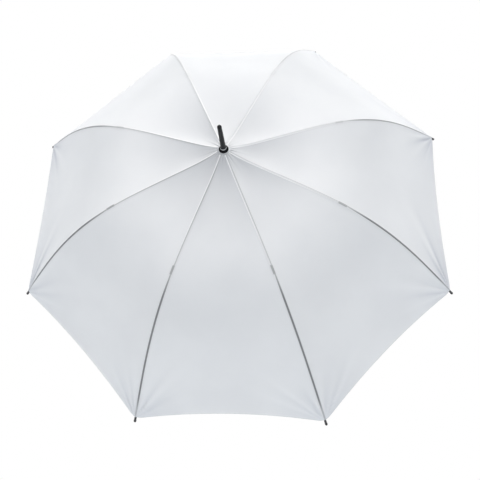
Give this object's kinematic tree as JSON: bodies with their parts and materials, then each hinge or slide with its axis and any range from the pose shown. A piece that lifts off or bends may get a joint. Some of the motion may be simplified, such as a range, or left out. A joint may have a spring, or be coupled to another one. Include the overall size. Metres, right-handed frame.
{
  "type": "umbrella reflector",
  "caption": "White cloth umbrella reflector on steel ribs: long black ferrule, jointed ribs, stretchers and a sliding runner on a bare tubular shaft for a clamp.",
  "frame": {"origin": "centre of the flat end face of the shaft's free lower end", "axes": "+Z along the shaft towards the ferrule; the first rib stands 22.5 degrees from +X towards +Y, the others every 45 degrees; both catches face +X"},
  "size_m": [0.9258, 0.9258, 0.8037],
  "materials": {
    "rib_channel": "satin paint",
    "rib_joint": "matte",
    "rib_rod": "satin",
    "rib_tip": "matte",
    "stretcher": "satin",
    "canopy_panel": "woven, slightly translucent white",
    "shaft_tube": "drawn tube",
    "ferrule": "satin black",
    "ferrule_cap": "satin black",
    "top_notch": "moulded nylon",
    "wire": "bright wire",
    "runner": "moulded nylon",
    "catch": "spring steel",
    "end_plug": "matte",
    "stop_pin": "bright",
    "crown_washer": "bright"
  },
  "bodies": {
    "shaft": {"shaft_tube": "shaft_tube", "ferrule": "ferrule", "ferrule_cap": "ferrule_cap", "top_notch": "top_notch", "notch_wire": "wire", "end_plug": "end_plug", "stop_pin": "stop_pin", "crown_washer": "crown_washer"},
    "runner": {"runner": "runner", "runner_wire": "wire"},
    "top_catch": {"top_catch": "catch"},
    "lower_catch": {"lower_catch": "catch"},
    "rib_1": {"rib_channel_1": "rib_channel", "rib_joint_1": "rib_joint", "canopy_panel_1": "canopy_panel"},
    "rod_1": {"rib_rod_1": "rib_rod", "rib_tip_1": "rib_tip"},
    "strut_1": {"stretcher_1": "stretcher"},
    "rib_2": {"rib_channel_2": "rib_channel", "rib_joint_2": "rib_joint", "canopy_panel_2": "canopy_panel"},
    "rod_2": {"rib_rod_2": "rib_rod", "rib_tip_2": "rib_tip"},
    "strut_2": {"stretcher_2": "stretcher"},
    "rib_3": {"rib_channel_3": "rib_channel", "rib_joint_3": "rib_joint", "canopy_panel_3": "canopy_panel"},
    "rod_3": {"rib_rod_3": "rib_rod", "rib_tip_3": "rib_tip"},
    "strut_3": {"stretcher_3": "stretcher"},
    "rib_4": {"rib_channel_4": "rib_channel", "rib_joint_4": "rib_joint", "canopy_panel_4": "canopy_panel"},
    "rod_4": {"rib_rod_4": "rib_rod", "rib_tip_4": "rib_tip"},
    "strut_4": {"stretcher_4": "stretcher"},
    "rib_5": {"rib_channel_5": "rib_channel", "rib_joint_5": "rib_joint", "canopy_panel_5": "canopy_panel"},
    "rod_5": {"rib_rod_5": "rib_rod", "rib_tip_5": "rib_tip"},
    "strut_5": {"stretcher_5": "stretcher"},
    "rib_6": {"rib_channel_6": "rib_channel", "rib_joint_6": "rib_joint", "canopy_panel_6": "canopy_panel"},
    "rod_6": {"rib_rod_6": "rib_rod", "rib_tip_6": "rib_tip"},
    "strut_6": {"stretcher_6": "stretcher"},
    "rib_7": {"rib_channel_7": "rib_channel", "rib_joint_7": "rib_joint", "canopy_panel_7": "canopy_panel"},
    "rod_7": {"rib_rod_7": "rib_rod", "rib_tip_7": "rib_tip"},
    "strut_7": {"stretcher_7": "stretcher"},
    "rib_8": {"rib_channel_8": "rib_channel", "rib_joint_8": "rib_joint", "canopy_panel_8": "canopy_panel"},
    "rod_8": {"rib_rod_8": "rib_rod", "rib_tip_8": "rib_tip"},
    "strut_8": {"stretcher_8": "stretcher"}
  },
  "joints": [
    {"name": "runner_slide", "type": "slide", "parent": "shaft", "child": "runner", "axis": [0, 0, -1], "range_m": [0, 0.34027]},
    {"name": "rib_fold_1", "type": "hinge", "parent": "shaft", "child": "rib_1", "pos_m": [0.00702, 0.00291, 0.712], "axis": [-0.3827, 0.9239, 0], "range_deg": [-0.1, 74.9], "deforming": ["canopy_panel_1"]},
    {"name": "rod_flex_1", "type": "hinge", "parent": "rib_1", "child": "rod_1", "pos_m": [0.23172, 0.09598, 0.66805], "axis": [-0.3827, 0.9239, 0], "range_deg": [-33.5, 0.1]},
    {"name": "strut_turn_1", "type": "hinge", "parent": "rib_1", "child": "strut_1", "pos_m": [0.22098, 0.09153, 0.66629], "axis": [-0.3827, 0.9239, 0], "range_deg": [-138.79, 0.1]},
    {"name": "rib_fold_2", "type": "hinge", "parent": "shaft", "child": "rib_2", "pos_m": [0.00291, 0.00702, 0.712], "axis": [-0.9239, 0.3827, 0], "range_deg": [-0.1, 74.9], "deforming": ["canopy_panel_2"]},
    {"name": "rod_flex_2", "type": "hinge", "parent": "rib_2", "child": "rod_2", "pos_m": [0.09598, 0.23172, 0.66805], "axis": [-0.9239, 0.3827, 0], "range_deg": [-33.5, 0.1]},
    {"name": "strut_turn_2", "type": "hinge", "parent": "rib_2", "child": "strut_2", "pos_m": [0.09153, 0.22098, 0.66629], "axis": [-0.9239, 0.3827, 0], "range_deg": [-138.79, 0.1]},
    {"name": "rib_fold_3", "type": "hinge", "parent": "shaft", "child": "rib_3", "pos_m": [-0.00291, 0.00702, 0.712], "axis": [-0.9239, -0.3827, 0], "range_deg": [-0.1, 74.9], "deforming": ["canopy_panel_3"]},
    {"name": "rod_flex_3", "type": "hinge", "parent": "rib_3", "child": "rod_3", "pos_m": [-0.09598, 0.23172, 0.66805], "axis": [-0.9239, -0.3827, 0], "range_deg": [-33.5, 0.1]},
    {"name": "strut_turn_3", "type": "hinge", "parent": "rib_3", "child": "strut_3", "pos_m": [-0.09153, 0.22098, 0.66629], "axis": [-0.9239, -0.3827, 0], "range_deg": [-138.79, 0.1]},
    {"name": "rib_fold_4", "type": "hinge", "parent": "shaft", "child": "rib_4", "pos_m": [-0.00702, 0.00291, 0.712], "axis": [-0.3827, -0.9239, 0], "range_deg": [-0.1, 74.9], "deforming": ["canopy_panel_4"]},
    {"name": "rod_flex_4", "type": "hinge", "parent": "rib_4", "child": "rod_4", "pos_m": [-0.23172, 0.09598, 0.66805], "axis": [-0.3827, -0.9239, 0], "range_deg": [-33.5, 0.1]},
    {"name": "strut_turn_4", "type": "hinge", "parent": "rib_4", "child": "strut_4", "pos_m": [-0.22098, 0.09153, 0.66629], "axis": [-0.3827, -0.9239, 0], "range_deg": [-138.79, 0.1]},
    {"name": "rib_fold_5", "type": "hinge", "parent": "shaft", "child": "rib_5", "pos_m": [-0.00702, -0.00291, 0.712], "axis": [0.3827, -0.9239, 0], "range_deg": [-0.1, 74.9], "deforming": ["canopy_panel_5"]},
    {"name": "rod_flex_5", "type": "hinge", "parent": "rib_5", "child": "rod_5", "pos_m": [-0.23172, -0.09598, 0.66805], "axis": [0.3827, -0.9239, 0], "range_deg": [-33.5, 0.1]},
    {"name": "strut_turn_5", "type": "hinge", "parent": "rib_5", "child": "strut_5", "pos_m": [-0.22098, -0.09153, 0.66629], "axis": [0.3827, -0.9239, 0], "range_deg": [-138.79, 0.1]},
    {"name": "rib_fold_6", "type": "hinge", "parent": "shaft", "child": "rib_6", "pos_m": [-0.00291, -0.00702, 0.712], "axis": [0.9239, -0.3827, 0], "range_deg": [-0.1, 74.9], "deforming": ["canopy_panel_6"]},
    {"name": "rod_flex_6", "type": "hinge", "parent": "rib_6", "child": "rod_6", "pos_m": [-0.09598, -0.23172, 0.66805], "axis": [0.9239, -0.3827, 0], "range_deg": [-33.5, 0.1]},
    {"name": "strut_turn_6", "type": "hinge", "parent": "rib_6", "child": "strut_6", "pos_m": [-0.09153, -0.22098, 0.66629], "axis": [0.9239, -0.3827, 0], "range_deg": [-138.79, 0.1]},
    {"name": "rib_fold_7", "type": "hinge", "parent": "shaft", "child": "rib_7", "pos_m": [0.00291, -0.00702, 0.712], "axis": [0.9239, 0.3827, 0], "range_deg": [-0.1, 74.9], "deforming": ["canopy_panel_7"]},
    {"name": "rod_flex_7", "type": "hinge", "parent": "rib_7", "child": "rod_7", "pos_m": [0.09598, -0.23172, 0.66805], "axis": [0.9239, 0.3827, 0], "range_deg": [-33.5, 0.1]},
    {"name": "strut_turn_7", "type": "hinge", "parent": "rib_7", "child": "strut_7", "pos_m": [0.09153, -0.22098, 0.66629], "axis": [0.9239, 0.3827, 0], "range_deg": [-138.79, 0.1]},
    {"name": "rib_fold_8", "type": "hinge", "parent": "shaft", "child": "rib_8", "pos_m": [0.00702, -0.00291, 0.712], "axis": [0.3827, 0.9239, 0], "range_deg": [-0.1, 74.9], "deforming": ["canopy_panel_8"]},
    {"name": "rod_flex_8", "type": "hinge", "parent": "rib_8", "child": "rod_8", "pos_m": [0.23172, -0.09598, 0.66805], "axis": [0.3827, 0.9239, 0], "range_deg": [-33.5, 0.1]},
    {"name": "strut_turn_8", "type": "hinge", "parent": "rib_8", "child": "strut_8", "pos_m": [0.22098, -0.09153, 0.66629], "axis": [0.3827, 0.9239, 0], "range_deg": [-138.79, 0.1]},
    {"name": "top_catch_press", "type": "hinge", "parent": "shaft", "child": "top_catch", "pos_m": [0, 0, 0.53855], "axis": [0, -1, 0], "range_deg": [0, 8]},
    {"name": "lower_catch_press", "type": "hinge", "parent": "shaft", "child": "lower_catch", "pos_m": [0, 0, 0.25609], "axis": [0, 1, 0], "range_deg": [0, 8]}
  ],
  "couplings": [
    {"joint": "rib_fold_1", "follows": "runner_slide", "rad_per_m": 3.8367},
    {"joint": "rod_flex_1", "follows": "runner_slide", "rad_per_m": -1.7132},
    {"joint": "strut_turn_1", "follows": "runner_slide", "rad_per_m": -7.1136},
    {"joint": "rib_fold_2", "follows": "runner_slide", "rad_per_m": 3.8367},
    {"joint": "rod_flex_2", "follows": "runner_slide", "rad_per_m": -1.7132},
    {"joint": "strut_turn_2", "follows": "runner_slide", "rad_per_m": -7.1136},
    {"joint": "rib_fold_3", "follows": "runner_slide", "rad_per_m": 3.8367},
    {"joint": "rod_flex_3", "follows": "runner_slide", "rad_per_m": -1.7132},
    {"joint": "strut_turn_3", "follows": "runner_slide", "rad_per_m": -7.1136},
    {"joint": "rib_fold_4", "follows": "runner_slide", "rad_per_m": 3.8367},
    {"joint": "rod_flex_4", "follows": "runner_slide", "rad_per_m": -1.7132},
    {"joint": "strut_turn_4", "follows": "runner_slide", "rad_per_m": -7.1136},
    {"joint": "rib_fold_5", "follows": "runner_slide", "rad_per_m": 3.8367},
    {"joint": "rod_flex_5", "follows": "runner_slide", "rad_per_m": -1.7132},
    {"joint": "strut_turn_5", "follows": "runner_slide", "rad_per_m": -7.1136},
    {"joint": "rib_fold_6", "follows": "runner_slide", "rad_per_m": 3.8367},
    {"joint": "rod_flex_6", "follows": "runner_slide", "rad_per_m": -1.7132},
    {"joint": "strut_turn_6", "follows": "runner_slide", "rad_per_m": -7.1136},
    {"joint": "rib_fold_7", "follows": "runner_slide", "rad_per_m": 3.8367},
    {"joint": "rod_flex_7", "follows": "runner_slide", "rad_per_m": -1.7132},
    {"joint": "strut_turn_7", "follows": "runner_slide", "rad_per_m": -7.1136},
    {"joint": "rib_fold_8", "follows": "runner_slide", "rad_per_m": 3.8367},
    {"joint": "rod_flex_8", "follows": "runner_slide", "rad_per_m": -1.7132},
    {"joint": "strut_turn_8", "follows": "runner_slide", "rad_per_m": -7.1136}
  ]
}
